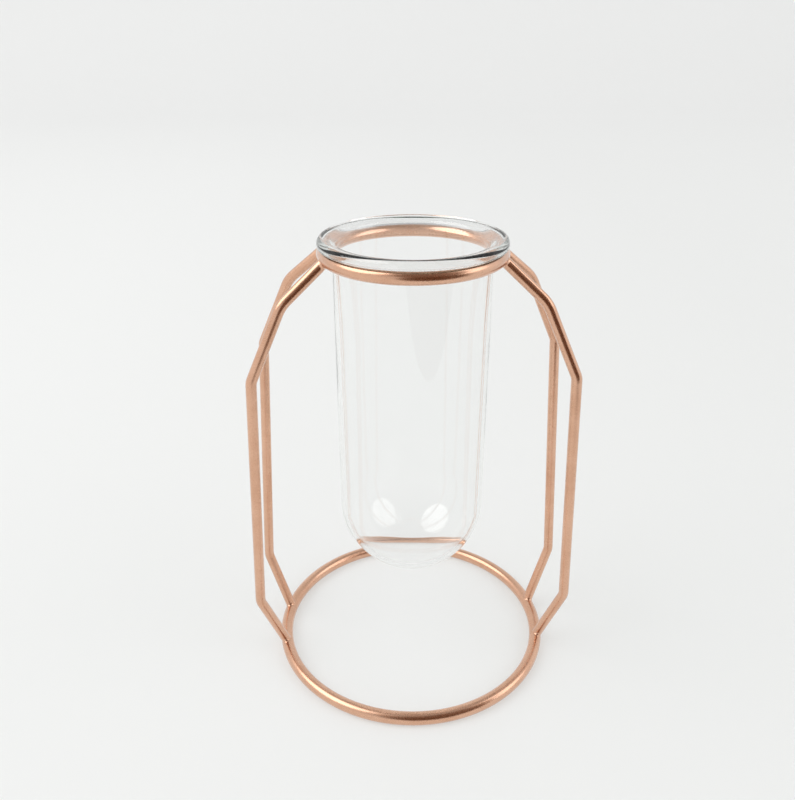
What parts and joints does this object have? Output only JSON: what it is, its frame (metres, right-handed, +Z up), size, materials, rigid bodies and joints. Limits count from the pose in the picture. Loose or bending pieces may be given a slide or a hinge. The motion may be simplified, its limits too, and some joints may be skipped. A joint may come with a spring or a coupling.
{
  "type": "test tube vase",
  "caption": "Clear glass test tube vase with a rolled lip, hung in an open copper-coloured wire frame of two rings and bent legs.",
  "frame": {"origin": "on the surface that the vase stands on, under the axis of the tube and of both rings", "axes": "+Z up along the tube's axis, out of its mouth; the legs stand in pairs at -X and +X; -Y is the front of the picture"},
  "size_m": [0.1016, 0.09, 0.1386],
  "materials": {
    "clear_glass": "clear, polished",
    "copper_wire": "satin copper plating on steel wire",
    "copper_weld": "satin copper plating over weld metal"
  },
  "bodies": {
    "frame": {"base_ring": "copper_wire", "top_ring": "copper_wire", "leg_front_left": "copper_wire", "leg_front_right": "copper_wire", "leg_back_left": "copper_wire", "leg_back_right": "copper_wire", "weld_base_front_left": "copper_weld", "weld_base_front_right": "copper_weld", "weld_base_back_left": "copper_weld", "weld_base_back_right": "copper_weld", "weld_top_front_left": "copper_weld", "weld_top_front_right": "copper_weld", "weld_top_back_left": "copper_weld", "weld_top_back_right": "copper_weld"},
    "tube": {"glass_tube": "clear_glass"}
  },
  "joints": [
    {"name": "tube_lift", "type": "slide", "parent": "frame", "child": "tube", "axis": [0, 0, 1], "range_m": [0, 0.12]}
  ]
}
